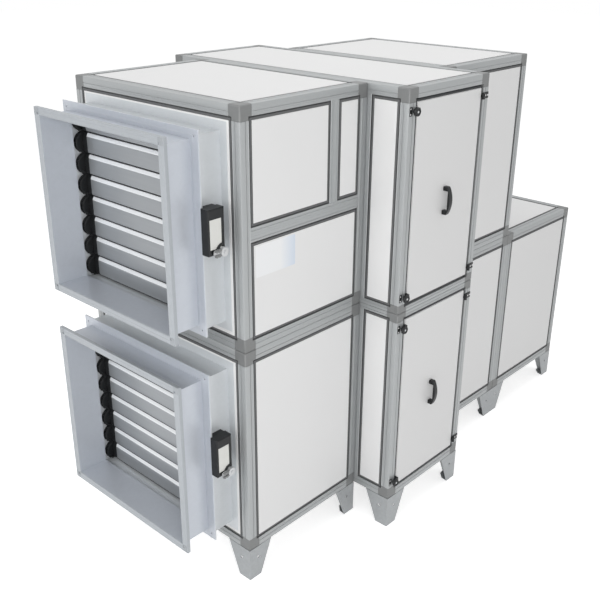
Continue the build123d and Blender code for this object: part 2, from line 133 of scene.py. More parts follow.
floor_mesh = bpy.data.meshes.new("floor")
half_floor = floor_size / 2
floor_mesh.from_pydata(
    [(-half_floor, -half_floor, 0), (half_floor, -half_floor, 0),
     (half_floor, half_floor, 0), (-half_floor, half_floor, 0)],
    [], [(0, 1, 2, 3)],
)
floor = bpy.data.objects.new("floor", floor_mesh)
floor.location.z = -floor_gap
bpy.context.scene.collection.objects.link(floor)
floor_finish, floor_tree, floor_shader = surface_material("studio floor")
floor_shader.inputs["Base Color"].default_value = floor_colour
floor_shader.inputs["Roughness"].default_value = 1.0
floor_shader.inputs["Specular IOR Level"].default_value = 0.0
floor_shader.inputs["Emission Color"].default_value = (1, 1, 1, 1)
glow = floor_tree.nodes.new("ShaderNodeMath")
glow.operation = "MULTIPLY"
glow.inputs[1].default_value = floor_glow
floor_tree.links.new(seen_directly(floor_tree), glow.inputs[0])
floor_tree.links.new(glow.outputs[0], floor_shader.inputs["Emission Strength"])
floor_mesh.materials.append(floor_finish)

world = bpy.data.worlds.new("studio")
world.use_nodes = True
bpy.context.scene.world = world
surround = world.node_tree.nodes["Background"]
surround.inputs["Color"].default_value = (1, 1, 1, 1)
brightness = world.node_tree.nodes.new("ShaderNodeMix")
brightness.inputs["A"].default_value = surround_light
brightness.inputs["B"].default_value = 1.0
world.node_tree.links.new(seen_directly(world.node_tree), brightness.inputs["Factor"])
world.node_tree.links.new(brightness.outputs[0], surround.inputs["Strength"])

for name, place, size, power in lamps:
    lamp = bpy.data.lights.new(name, "AREA")
    lamp.shape = "SQUARE"
    lamp.size = size
    lamp.energy = power
    lamp_object = bpy.data.objects.new(name, lamp)
    aim = lamp_target - Vector(place)
    lamp_object.matrix_world = (
        Matrix.Translation(Vector(place)) @ aim.to_track_quat("-Z", "Y").to_matrix().to_4x4()
    )
    bpy.context.scene.collection.objects.link(lamp_object)


# The casing's panels: two steel sheets with insulation between them, coated
# off-white, with folded edges and the faint unevenness of roller-coated sheet.
panel_colour = (0.80, 0.80, 0.80, 1)
panel_roughness = 0.45
panel_fold = 0.0022
weld_distance = 0.000002
sharp_angle = radians(30)
eased_angle = radians(40)
panel_nodes = (
    "side_panels", "roof_panels", "floor_panels", "end_panels",
    "upper_damper_panel", "lower_damper_panel",
)


def object_noise(tree, scale, detail=2.0, stretch=(1, 1, 1)):
    """Noise on the object's own coordinates, finer where it isn't stretched."""
    place = tree.nodes.new("ShaderNodeTexCoord")
    mapping = tree.nodes.new("ShaderNodeMapping")
    mapping.inputs["Scale"].default_value = stretch
    noise = tree.nodes.new("ShaderNodeTexNoise")
    noise.inputs["Scale"].default_value = scale
    noise.inputs["Detail"].default_value = detail
    tree.links.new(place.outputs["Object"], mapping.inputs["Vector"])
    tree.links.new(mapping.outputs["Vector"], noise.inputs["Vector"])
    return noise.outputs["Fac"]


def add_bump(tree, shader, height, strength, depth):
    """A fine relief on the surface, depth in metres."""
    bump = tree.nodes.new("ShaderNodeBump")
    bump.inputs["Strength"].default_value = strength
    bump.inputs["Distance"].default_value = depth
    tree.links.new(height, bump.inputs["Height"])
    tree.links.new(bump.outputs["Normal"], shader.inputs["Normal"])


def vary(tree, factor, low, high):
    """A value or colour that runs from low to high with the factor."""
    ramp = tree.nodes.new("ShaderNodeMix")
    if isinstance(low, tuple):
        ramp.data_type = "RGBA"
        ends, result = (ramp.inputs[6], ramp.inputs[7]), ramp.outputs[2]
    else:
        ends, result = (ramp.inputs[2], ramp.inputs[3]), ramp.outputs[0]
    ends[0].default_value = low
    ends[1].default_value = high
    tree.links.new(factor, ramp.inputs[0])
    return result


def shade(colour, factor):
    """A colour made lighter or darker."""
    return (*(min(1.0, part * factor) for part in colour[:3]), 1)


def body_with(node):
    """The name of the body that a CAD piece moves with."""
    return body_of(frame["nodes"][node])[0]


def smooth_rounds(mesh):
    """Smooth shading, with edges kept sharp where faces meet at an angle."""
    mesh.polygons.foreach_set("use_smooth", [True] * len(mesh.polygons))
    mesh.set_sharp_from_angle(angle=sharp_angle)


def place_piece(name, mesh, material, body, *stands_for):
    """Puts a finished mesh in the scene as a piece that moves with a body."""
    mesh.materials.clear()
    mesh.materials.append(material)
    smooth_rounds(mesh)
    piece = bpy.data.objects.new(name, mesh)
    bpy.context.scene.collection.objects.link(piece)
    if stands_for:
        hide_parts(*stands_for)
    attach(piece, body)
    return piece


def eased_copy(node, material, width, segments=2):
    """A copy of a CAD piece whose sharp edges are slightly rounded."""
    shape = bmesh.new()
    shape.from_mesh(frame["nodes"][node].data)
    bmesh.ops.remove_doubles(shape, verts=shape.verts, dist=weld_distance)
    bmesh.ops.dissolve_limit(
        shape, angle_limit=radians(1), verts=shape.verts, edges=shape.edges, delimit={"NORMAL"}
    )
    mesh = bpy.data.meshes.new(f"{node}_eased")
    shape.to_mesh(mesh)
    shape.free()
    piece = place_piece(f"{node}_eased", mesh, material, body_with(node), node)
    edges = piece.modifiers.new("rounded edges", "BEVEL")
    edges.width = width
    edges.segments = segments
    edges.limit_method = "ANGLE"
    edges.angle_limit = eased_angle
    edges.harden_normals = True


coated_steel, tree, shader = surface_material("coated steel sheet")
cloud = object_noise(tree, 1.6, 3.0)
tree.links.new(
    vary(tree, cloud, shade(panel_colour, 0.98), shade(panel_colour, 1.02)),
    shader.inputs["Base Color"],
)
tree.links.new(
    vary(tree, cloud, panel_roughness - 0.05, panel_roughness + 0.05), shader.inputs["Roughness"]
)
add_bump(tree, shader, object_noise(tree, 900, 1.0), 0.08, 0.0002)
for node in panel_nodes:
    eased_copy(node, coated_steel, panel_fold)


# Rubber seals pressed between each panel and the bars: a flat lip beside the
# panel and a groove beside the bar, in a ring that runs round every panel.
seal_colour = (0.115, 0.118, 0.12, 1)
seal_width = 0.017
end_faces = (-0.56, 0.08, 0.85, 1.63)
face_match = 0.001
seal_outline = (
    (0, 0.040), (0, 0.0022), (0.0105, 0.0026), (0.0115, 0.010),
    (0.0155, 0.010), (0.0165, 0.0030), (seal_width, 0.0030), (seal_width, 0.040),
)


def separate_boxes(node):
    """The boxes of the solids that make up one CAD piece, in the order of their vertices."""
    shape = bmesh.new()
    shape.from_mesh(frame["nodes"][node].data)
    bmesh.ops.remove_doubles(shape, verts=shape.verts, dist=weld_distance)
    seen = set()
    boxes = []
    for first in shape.verts:
        if first in seen:
            continue
        seen.add(first)
        reached = [first]
        for vertex in reached:
            for edge in vertex.link_edges:
                neighbour = edge.other_vert(vertex)
                if neighbour not in seen:
                    seen.add(neighbour)
                    reached.append(neighbour)
        places = [vertex.co for vertex in reached]
        low = Vector([min(place[i] for place in places) for i in range(3)])
        high = Vector([max(place[i] for place in places) for i in range(3)])
        boxes.append((low, high))
    shape.free()
    return boxes


def band_faces(shape, rows, closed=True):
    """Faces between neighbouring rows of vertices, and from the last row to the first if closed."""
    pairs = list(zip(rows, rows[1:]))
    if closed:
        pairs.append((rows[-1], rows[0]))
    for first, second in pairs:
        for i in range(len(first)):
            j = (i + 1) % len(first)
            shape.faces.new((first[i], first[j], second[j], second[i]))


def add_ring(shape, outline, low, high, across, along, outward, plane):
    """Sweeps an outline of distances out and depths round a rectangle that lies in a face."""
    rows = []
    for u_side, v_side in ((-1, -1), (1, -1), (1, 1), (-1, 1)):
        row = []
        for distance, depth in outline:
            point = Vector((0, 0, 0))
            point[across] = (high if u_side > 0 else low)[across] + u_side * distance
            point[along] = (high if v_side > 0 else low)[along] + v_side * distance
            point[outward] = plane - depth * (1 if plane > (low + high)[outward] / 2 else -1)
            row.append(shape.verts.new(point))
        rows.append(row)
    band_faces(shape, rows)


def finished_mesh(name, shape):
    """A mesh with its faces pointing outwards."""
    bmesh.ops.recalc_face_normals(shape, faces=shape.faces)
    mesh = bpy.data.meshes.new(name)
    shape.to_mesh(mesh)
    shape.free()
    return mesh


seal_rubber, tree, shader = surface_material("seal rubber")
tree.links.new(
    vary(tree, object_noise(tree, 60), shade(seal_colour, 0.9), shade(seal_colour, 1.1)),
    shader.inputs["Base Color"],
)
shader.inputs["Roughness"].default_value = 0.7
add_bump(tree, shader, object_noise(tree, 700, 1.0), 0.2, 0.0003)
shape = bmesh.new()
for node in panel_nodes:
    outward = {"side": 1, "roof": 2, "floor": 2}.get(node.split("_")[0], 0)
    across, along = (axis for axis in range(3) if axis != outward)
    for low, high in separate_boxes(node):
        middle = (low + high) / 2
        if node == "end_panels":
            nearest = min(end_faces, key=lambda x: abs(x - middle.x))
            plane = low.x if nearest < low.x + face_match else high.x
        elif "damper" in node or node == "floor_panels":
            plane = low[outward]
        elif node == "roof_panels":
            plane = high[outward]
        else:
            plane = low.y if middle.y < 0 else high.y
        add_ring(shape, seal_outline, low, high, across, along, outward, plane)
place_piece("seal_rings", finished_mesh("seal_rings", shape), seal_rubber, "casing", "panel_seals")
frame["nodes"]["door_gaskets"].material_slots[0].material = seal_rubber


# The frame's bars: extruded aluminium, plain anodised. Each outer face has a
# narrow groove along its middle and a shallow channel along its inner edge.
profile_colour = (0.40, 0.415, 0.42, 1)
bar_face = 0.048
casting_reach = 0.065
bar_round = 0.004
groove_depth = 0.0022
channel_depth = 0.0011
levels = {"upper": ("damper", "wheel", "rear"), "lower": ("damper", "wheel", "rear", "tail")}
seam_bar_face = 0.028
seam_face = {
    ("upper", "wheel"): (seam_bar_face, bar_face), ("lower", "wheel"): (bar_face, seam_bar_face),
}
rail_height, rail_face = 0.494, 0.063
post_distance, post_face = 0.535, 0.054
step_place = 0.553


def face_line(length):
    """Distances along one bar face, from its corner inwards, and the depths there."""
    return [
        (bar_round, 0), (0.56 * length, 0), (0.57 * length, groove_depth),
        (0.63 * length, groove_depth), (0.64 * length, 0), (0.76 * length, 0),
        (0.79 * length, channel_depth), (0.93 * length, channel_depth), (0.96 * length, 0),
        (length, 0),
    ]


def corner_bar_outline(first_face, second_face):
    """The section of a bar with two outer faces that meet in a rounded corner."""
    first = face_line(first_face)
    second = [(depth, distance) for distance, depth in reversed(face_line(second_face))]
    corner = bar_round * 0.3
    return first + [(first_face, second_face)] + second + [(corner, corner)]


def flat_bar_outline(width, depth):
    """The section of a mullion with one outer face, grooved near both edges."""
    edge, lip = 0.0015, 0.22 * width
    half = [
        (edge, 0), (lip - 0.004, 0), (lip - 0.003, groove_depth), (lip, groove_depth),
        (lip + 0.001, 0), (0.40 * width, 0), (0.43 * width, channel_depth),
    ]
    other = [(width - distance, level) for distance, level in reversed(half)]
    return half + other + [(width, edge), (width, depth), (0, depth), (0, edge)]


def add_prism(shape, rows):
    """A closed solid between two rows of vertices that lie opposite each other."""
    band_faces(shape, rows, closed=False)
    for row in rows:
        shape.faces.new(row)


def add_bar(shape, outline, corner, across, inward, along):
    """One straight bar: its outline lies across it, and it runs along a direction."""
    rows = [
        [shape.verts.new(corner + across * u + inward * v + run) for u, v in outline]
        for run in (Vector((0, 0, 0)), along)
    ]
    add_prism(shape, rows)


def direction(axis, amount):
    """A vector along one axis."""
    vector = Vector((0, 0, 0))
    vector[axis] = amount
    return vector


extruded, tree, shader = surface_material("extruded aluminium")
grain = object_noise(tree, 240, 2.0)
tree.links.new(
    vary(tree, grain, shade(profile_colour, 0.94), shade(profile_colour, 1.06)),
    shader.inputs["Base Color"],
)
shader.inputs["Metallic"].default_value = 0.35
shader.inputs["Roughness"].default_value = 0.44
add_bump(tree, shader, grain, 0.08, 0.0002)
for deck, parts in levels.items():
    for part in parts:
        node = f"{deck}_{part}_section_frame"
        low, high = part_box(node)
        low_face, high_face = seam_face.get((deck, part), (bar_face, bar_face))
        shape = bmesh.new()
        for axis in range(3):
            first, second = (other for other in range(3) if other != axis)
            for u_side in (1, -1):
                for v_side in (1, -1):
                    corner = Vector((0, 0, 0))
                    corner[first] = (low if u_side > 0 else high)[first]
                    corner[second] = (low if v_side > 0 else high)[second]
                    faces = [bar_face, bar_face]
                    if second == 2:
                        faces[1] = low_face if v_side > 0 else high_face
                    start, end = casting_reach, casting_reach
                    if axis == 2:
                        start, end = low_face + seal_width, high_face + seal_width
                    corner[axis] = low[axis] + start
                    length = high[axis] - end - corner[axis]
                    add_bar(
                        shape, corner_bar_outline(*faces), corner, direction(first, u_side),
                        direction(second, v_side), direction(axis, length),
                    )
        place_piece(f"{node}_bars", finished_mesh(node, shape), extruded, "casing", node)

upper_low, upper_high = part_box("upper_damper_section_frame")
rail_bottom = upper_low.z + rail_height
post_start = upper_low.x + post_distance
shape = bmesh.new()
add_bar(
    shape, flat_bar_outline(rail_face, bar_face),
    Vector((upper_low.x + bar_face, upper_low.y, rail_bottom)),
    direction(2, 1), direction(1, 1), direction(0, upper_high.x - upper_low.x - 2 * bar_face),
)
add_bar(
    shape, flat_bar_outline(post_face, bar_face),
    Vector((post_start, upper_low.y, rail_bottom + rail_face)),
    direction(0, 1), direction(1, 1),
    direction(2, upper_high.z - bar_face - rail_bottom - rail_face),
)
for deck in levels:
    low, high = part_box(f"{deck}_wheel_section_frame")
    low_face, high_face = seam_face[deck, "wheel"]
    for x, inward in ((low.x, 1), (high.x, -1)):
        for side in (-1, 1):
            add_bar(
                shape, flat_bar_outline(bar_face, bar_face),
                Vector((x, side * step_place - bar_face / 2, low.z + low_face)),
                direction(1, 1), direction(0, inward),
                direction(2, high.z - high_face - low.z - low_face),
            )
place_piece("mullion_bars", finished_mesh("mullion_bars", shape), extruded, "casing", "mullions")


# The cast corners that the bars plug into, duller and darker than the bars,
# with a fine sand texture and rounded edges.
casting_colour = (0.215, 0.22, 0.22, 1)
casting_round = 0.0018
cast_metal, tree, shader = surface_material("cast aluminium")
pitted = object_noise(tree, 420, 3.0)
tree.links.new(
    vary(tree, pitted, shade(casting_colour, 0.88), shade(casting_colour, 1.12)),
    shader.inputs["Base Color"],
)
shader.inputs["Metallic"].default_value = 0.25
shader.inputs["Roughness"].default_value = 0.5
add_bump(tree, shader, pitted, 0.2, 0.0003)
for node in ("upper_corner_castings", "lower_corner_castings", "tail_corner_castings"):
    eased_copy(node, cast_metal, casting_round)


# Sixteen corner feet, each folded from galvanised sheet to an L in plan that
# tapers to the floor, with the pale spangle of the zinc.
zinc_colour = (0.37, 0.385, 0.395, 1)
foot_fold = 0.0012


def zinc_sheet(name, colour, spangle, contrast, roughness, metal):
    """Galvanised sheet: crystals of slightly different greys over a satin ground."""
    material, tree, shader = surface_material(name)
    place = tree.nodes.new("ShaderNodeTexCoord")
    crystals = tree.nodes.new("ShaderNodeTexVoronoi")
    crystals.inputs["Scale"].default_value = spangle
    tree.links.new(place.outputs["Object"], crystals.inputs["Vector"])
    tone = tree.nodes.new("ShaderNodeSeparateColor")
    tree.links.new(crystals.outputs["Color"], tone.inputs["Color"])
    tree.links.new(
        vary(tree, tone.outputs["Red"], shade(colour, 1 - contrast), shade(colour, 1 + contrast)),
        shader.inputs["Base Color"],
    )
    tree.links.new(
        vary(tree, tone.outputs["Green"], roughness - 0.04, roughness + 0.04),
        shader.inputs["Roughness"],
    )
    shader.inputs["Metallic"].default_value = metal
    add_bump(tree, shader, object_noise(tree, 35, 2.0), 0.05, 0.001)
    return material


foot_sheet = zinc_sheet("galvanised foot sheet", zinc_colour, 90, 0.04, 0.45, 0.45)
for node in ("feet", "tail_feet"):
    eased_copy(node, foot_sheet, foot_fold)


# The service doors: a coated skin with folded edges, a dark rubber edge band
# behind it, and a coated inner leaf. The band shows as a dark line round the skin.
door_colour = (0.74, 0.74, 0.74, 1)
band_colour = (0.04, 0.042, 0.045, 1)
skin_roughness, band_roughness = 0.45, 0.7
skin_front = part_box("upper_door")[0].y
skin_depth = 0.0055
band_depth = 0.0205
door_finish, tree, shader = surface_material("door skin and edge band")
place = tree.nodes.new("ShaderNodeTexCoord")
axes = tree.nodes.new("ShaderNodeSeparateXYZ")
tree.links.new(place.outputs["Object"], axes.inputs["Vector"])
behind_skin = tree.nodes.new("ShaderNodeMath")
behind_skin.operation = "GREATER_THAN"
behind_skin.inputs[1].default_value = skin_front + skin_depth
before_leaf = tree.nodes.new("ShaderNodeMath")
before_leaf.operation = "LESS_THAN"
before_leaf.inputs[1].default_value = skin_front + band_depth
between = tree.nodes.new("ShaderNodeMath")
between.operation = "MULTIPLY"
for i, test in enumerate((behind_skin, before_leaf)):
    tree.links.new(axes.outputs["Y"], test.inputs[0])
    tree.links.new(test.outputs[0], between.inputs[i])
tree.links.new(
    vary(tree, between.outputs[0], door_colour, band_colour), shader.inputs["Base Color"]
)
tree.links.new(
    vary(tree, between.outputs[0], skin_roughness, band_roughness), shader.inputs["Roughness"]
)
add_bump(tree, shader, object_noise(tree, 900, 1.0), 0.08, 0.0002)
for deck in levels:
    eased_copy(f"{deck}_door", door_finish, panel_fold)


# Door fittings of black glass-filled plastic with a fine moulded grain: bridge
# handles, hinges, keeper plates and the brackets that carry the latch knobs.
plastic_colour = (0.013, 0.014, 0.015, 1)
black_plastic, tree, shader = surface_material("black moulded plastic")
moulded = object_noise(tree, 800, 2.0)
tree.links.new(
    vary(tree, moulded, shade(plastic_colour, 0.8), shade(plastic_colour, 1.3)),
    shader.inputs["Base Color"],
)
shader.inputs["Roughness"].default_value = 0.42
shader.inputs["Specular IOR Level"].default_value = 0.3
add_bump(tree, shader, moulded, 0.15, 0.0002)
for deck in levels:
    eased_copy(f"{deck}_door_handle", black_plastic, 0.003, 3)
    eased_copy(f"{deck}_door_fittings", black_plastic, 0.001)
eased_copy("hinge_brackets", black_plastic, 0.0009)
eased_copy("latch_keepers", black_plastic, 0.0012)


# The latch knobs: turned discs with a scalloped rim, a sunk ring and a pale
# metal cap over the spindle.
knob_radius = 0.020
knob_height = 0.014
spindle_radius = 0.004
spindle_length = 0.0065
knob_outline = (
    (0, -spindle_length), (spindle_radius, -spindle_length), (spindle_radius, 0.0), (0.0185, 0.0),
    (knob_radius, 0.0015), (knob_radius, 0.0105), (0.0187, 0.0132), (0.0165, knob_height),
    (0.0145, 0.0132), (0.0130, 0.0108), (0.0075, 0.0108), (0.0070, 0.0118), (0, 0.0118),
)
cap_outline = ((0, 0.0115), (0.0055, 0.0115), (0.0055, 0.0126), (0.0040, 0.0136), (0, 0.0138))
scallops = 12
scallop_depth = 0.05
scalloped_from = 0.018
grip_sides, cap_sides = 72, 24
seam_distance = 0.00001
steel_colour = (0.56, 0.57, 0.58, 1)


def turned(outline, centre, axis, sides, lobes=0, lobe_depth=0.0):
    """A turned piece: radii and heights along an axis that points out of the face."""
    shape = bmesh.new()
    side = axis.orthogonal().normalized()
    up = axis.cross(side)
    rows = []
    for i in range(sides):
        turn = 2 * pi * i / sides
        row = []
        for radius, height in outline:
            edge = 1
            if radius > scalloped_from:
                edge -= lobe_depth * (1 + cos(lobes * turn)) / 2
            row.append(
                centre + (side * cos(turn) + up * sin(turn)) * radius * edge + axis * height
            )
        rows.append([shape.verts.new(point) for point in row])
    for i, row in enumerate(rows):
        following = rows[(i + 1) % sides]
        for j in range(len(outline) - 1):
            shape.faces.new((row[j], row[j + 1], following[j + 1], following[j]))
    bmesh.ops.remove_doubles(shape, verts=shape.verts, dist=seam_distance)
    return shape


turned_metal, tree, shader = surface_material("zinc-plated steel")
tree.links.new(
    vary(tree, object_noise(tree, 500), shade(steel_colour, 0.92), shade(steel_colour, 1.06)),
    shader.inputs["Base Color"],
)
shader.inputs["Metallic"].default_value = 0.6
shader.inputs["Roughness"].default_value = 0.4
for deck in levels:
    for place in ("bottom", "top"):
        node = f"{deck}_door_{place}_knob"
        low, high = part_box(node)
        centre = Vector(((low.x + high.x) / 2, low.y + knob_height, (low.z + high.z) / 2))
        outwards = Vector((0, -1, 0))
        grip = finished_mesh(
            node, turned(knob_outline, centre, outwards, grip_sides, scallops, scallop_depth)
        )
        place_piece(f"{node}_grip", grip, black_plastic, node, node)
        cap = finished_mesh(f"{node}_cap", turned(cap_outline, centre, outwards, cap_sides))
        place_piece(f"{node}_cap", cap, turned_metal, node)


# Small round screws with a sunk drive: two in each hinge's fixed leaf and two
# in each keeper plate.
screw_stand = 0.0034
hinge_screw_places = (0.008, 0.026)
keeper_screw_inset = 0.0045
keeper_screw_spacing = 0.012
head_taper = 0.82
drive_share = 0.5


def fastener_tree(material):
    """Geometry Nodes that set a screw head with a sunk drive on every point."""
    tree = bpy.data.node_groups.new("screw heads", "GeometryNodeTree")
    tree.interface.new_socket("Geometry", in_out="OUTPUT", socket_type="NodeSocketGeometry")
    tree.interface.new_socket("Geometry", in_out="INPUT", socket_type="NodeSocketGeometry")
    for label in ("Head Radius", "Head Height", "Drive Depth"):
        tree.interface.new_socket(label, in_out="INPUT", socket_type="NodeSocketFloat")
    tree.interface.new_socket("Sides", in_out="INPUT", socket_type="NodeSocketInt")
    entry = tree.nodes.new("NodeGroupInput")
    head = tree.nodes.new("GeometryNodeMeshCone")
    tree.links.new(entry.outputs["Sides"], head.inputs["Vertices"])
    tree.links.new(entry.outputs["Head Radius"], head.inputs["Radius Bottom"])
    top_radius = tree.nodes.new("ShaderNodeMath")
    top_radius.operation = "MULTIPLY"
    top_radius.inputs[1].default_value = head_taper
    tree.links.new(entry.outputs["Head Radius"], top_radius.inputs[0])
    tree.links.new(top_radius.outputs[0], head.inputs["Radius Top"])
    tree.links.new(entry.outputs["Head Height"], head.inputs["Depth"])
    inner = tree.nodes.new("GeometryNodeExtrudeMesh")
    inner.inputs["Offset Scale"].default_value = 0.0
    tree.links.new(head.outputs["Mesh"], inner.inputs["Mesh"])
    tree.links.new(head.outputs["Top"], inner.inputs["Selection"])
    narrowed = tree.nodes.new("GeometryNodeScaleElements")
    narrowed.inputs["Scale"].default_value = drive_share
    tree.links.new(inner.outputs["Mesh"], narrowed.inputs["Geometry"])
    tree.links.new(inner.outputs["Top"], narrowed.inputs["Selection"])
    sunk = tree.nodes.new("GeometryNodeExtrudeMesh")
    tree.links.new(narrowed.outputs["Geometry"], sunk.inputs["Mesh"])
    tree.links.new(inner.outputs["Top"], sunk.inputs["Selection"])
    depth = tree.nodes.new("ShaderNodeMath")
    depth.operation = "MULTIPLY"
    depth.inputs[1].default_value = -1.0
    tree.links.new(entry.outputs["Drive Depth"], depth.inputs[0])
    tree.links.new(depth.outputs[0], sunk.inputs["Offset Scale"])
    facing = tree.nodes.new("GeometryNodeInputNamedAttribute")
    facing.data_type = "FLOAT_VECTOR"
    facing.inputs["Name"].default_value = "facing"
    turn = tree.nodes.new("FunctionNodeAlignRotationToVector")
    turn.axis = "Z"
    tree.links.new(facing.outputs["Attribute"], turn.inputs["Vector"])
    heads = tree.nodes.new("GeometryNodeInstanceOnPoints")
    tree.links.new(entry.outputs["Geometry"], heads.inputs["Points"])
    tree.links.new(sunk.outputs["Mesh"], heads.inputs["Instance"])
    tree.links.new(turn.outputs["Rotation"], heads.inputs["Rotation"])
    real = tree.nodes.new("GeometryNodeRealizeInstances")
    tree.links.new(heads.outputs["Instances"], real.inputs["Geometry"])
    finish = tree.nodes.new("GeometryNodeSetMaterial")
    finish.inputs["Material"].default_value = material
    tree.links.new(real.outputs["Geometry"], finish.inputs["Geometry"])
    leave = tree.nodes.new("NodeGroupOutput")
    tree.links.new(finish.outputs["Geometry"], leave.inputs["Geometry"])
    return tree


def add_fasteners(name, body, tree, places, facing, **sizes):
    """Screw heads at places on a body, all facing one way."""
    points = bpy.data.meshes.new(f"{name}_places")
    points.from_pydata([tuple(place) for place in places], [], [])
    ways = points.attributes.new("facing", "FLOAT_VECTOR", "POINT")
    ways.data.foreach_set("vector", list(facing) * len(places))
    source = bpy.data.objects.new(f"{name}_places", points)
    bpy.context.scene.collection.objects.link(source)
    heads = source.modifiers.new("screw heads", "NODES")
    heads.node_group = tree
    sockets = {item.name: item.identifier for item in tree.interface.items_tree}
    for label, value in sizes.items():
        heads[sockets[label.replace("_", " ").title()]] = value
    evaluated = source.evaluated_get(bpy.context.evaluated_depsgraph_get())
    mesh = bpy.data.meshes.new_from_object(evaluated)
    material = mesh.materials[0]
    source.modifiers.remove(heads)
    bpy.data.objects.remove(source)
    mesh.name = name
    place_piece(name, mesh, material, body)


steel_heads = fastener_tree(turned_metal)
dark_heads = fastener_tree(black_plastic)
hinge_screws, keeper_screws = [], []
for low, high in separate_boxes("hinge_brackets"):
    for from_edge in hinge_screw_places:
        hinge_screws.append(
            (high.x - from_edge, skin_front - screw_stand, (low.z + high.z) / 2)
        )
for low, high in separate_boxes("latch_keepers"):
    for z in (-keeper_screw_spacing, keeper_screw_spacing):
        keeper_screws.append((
            low.x + keeper_screw_inset, skin_front - screw_stand, (low.z + high.z) / 2 + z,
        ))
add_fasteners(
    "hinge_screws", "casing", steel_heads, hinge_screws, (0, -1, 0),
    head_radius=0.0042, head_height=0.0022, drive_depth=0.001, sides=16,
)
add_fasteners(
    "keeper_screws", "casing", dark_heads, keeper_screws, (0, -1, 0),
    head_radius=0.0033, head_height=0.0012, drive_depth=0.0006, sides=16,
)


# The dampers' frames and the short ducts in front of them: galvanised sheet,
# smoother and cooler in tone than the feet, with beads rolled into the flanges.
# Each damper stands on a zinc-coated plate that leaves the panel's rim bare.
duct_colour = (0.56, 0.59, 0.64, 1)
# The flange is the duct's galvanised sheet drawn darker. This is painted shade for the dull
# reflection of its face towards the damper end. The pressed corners are drawn darker still.
flange_shaded_colour = (0.40, 0.425, 0.45, 1)
casing_colour = (0.64, 0.665, 0.685, 1)
plate_margin = 0.012
plate_thickness = 0.0008
plate_opening = 0.0275
corner_from, corner_to = 0.0036, 0.0345
corner_thickness = 0.0013
back_hole_inset = 0.026
casing_fold = 0.0008
hole_sides = 24
duct_half_width = 0.412
duct_half_height = 0.396
flange_hole = 0.005
drill_before, drill_past = 0.002, 0.006
hole_from_opening = 0.010
duct_sheet = zinc_sheet("galvanised duct sheet", duct_colour, 60, 0.012, 0.38, 0.25)
damper_sheet = zinc_sheet("galvanised damper sheet", casing_colour, 60, 0.012, 0.38, 0.25)
flange_metal = zinc_sheet("rolled flange profile", flange_shaded_colour, 60, 0.015, 0.4, 0.3)
corner_metal = zinc_sheet("pressed flange corner", shade(flange_shaded_colour, 0.85), 60, 0.02, 0.4, 0.3)


def flange_outline(front):
    """The front flange's section: place along the unit, and distances out from the opening."""
    step, bead = 0.0010, 0.0004
    return [
        (front + 0.0036, 0, 0), (front + bead, 0.0032, 0.0032), (front + bead, 0.0050, 0.0050),
        (front + bead + step, 0.0062, 0.0062), (front + bead + step, 0.0180, 0.0180),
        (front + bead, 0.0192, 0.0192), (front + bead, 0.0222, 0.0222),
        (front + bead + step, 0.0234, 0.0234), (front + bead + step, 0.0310, 0.0310),
        (front + bead, 0.0322, 0.0322), (front + bead, 0.0350, 0.0350),
        (front + 0.0016, 0.0360, 0.0360), (front + 0.0180, 0.0360, 0.0360),
        (front + 0.0180, 0.0340, 0.0340), (front + 0.0040, 0.0340, 0.0340),
        (front + 0.0040, 0, 0),
    ]


def duct_outline(front, rear):
    """The duct sheet's section, from behind the front flange to the back flange's rim."""
    return [
        (front + 0.0038, 0, 0), (front + 0.0038, 0.0020, 0.0020),
        (rear - 0.0040, 0.0020, 0.0020),
        (rear - 0.0040, 0.0140, 0.0140), (rear - 0.0048, 0.0150, 0.0150),
        (rear - 0.0048, 0.0190, 0.0190), (rear - 0.0040, 0.0200, 0.0200),
        (rear - 0.0040, 0.0500, 0.0420), (rear - 0.0034, 0.0510, 0.0430), (rear, 0.0510, 0.0430),
        (rear, 0, 0),
    ]


def swept_round(name, outline, middle):
    """A mesh that takes an outline round the duct's opening."""
    shape = bmesh.new()
    rows = [
        [
            shape.verts.new((
                x, y_side * (duct_half_width + y_out), middle + z_side * (duct_half_height + z_out)
            ))
            for x, y_out, z_out in outline
        ]
        for y_side, z_side in ((-1, -1), (1, -1), (1, 1), (-1, 1))
    ]
    band_faces(shape, rows)
    return finished_mesh(name, shape)


def cut_holes(piece, places, start, end):
    """Cuts round holes along the unit through a piece, for good."""
    drill = bmesh.new()
    for y, z in places:
        turns = [2 * pi * i / hole_sides for i in range(hole_sides)]
        add_prism(drill, [
            [
                drill.verts.new((x, y + flange_hole * cos(turn), z + flange_hole * sin(turn)))
                for turn in turns
            ]
            for x in (start, end)
        ])
    cutter = bpy.data.objects.new("drill", finished_mesh("drill", drill))
    bpy.context.scene.collection.objects.link(cutter)
    cut = piece.modifiers.new("holes", "BOOLEAN")
    cut.object = cutter
    cut.operation = "DIFFERENCE"
    evaluated = piece.evaluated_get(bpy.context.evaluated_depsgraph_get())
    drilled = bpy.data.meshes.new_from_object(evaluated)
    piece.modifiers.remove(cut)
    piece.data = drilled
    smooth_rounds(drilled)
    bpy.data.objects.remove(cutter)


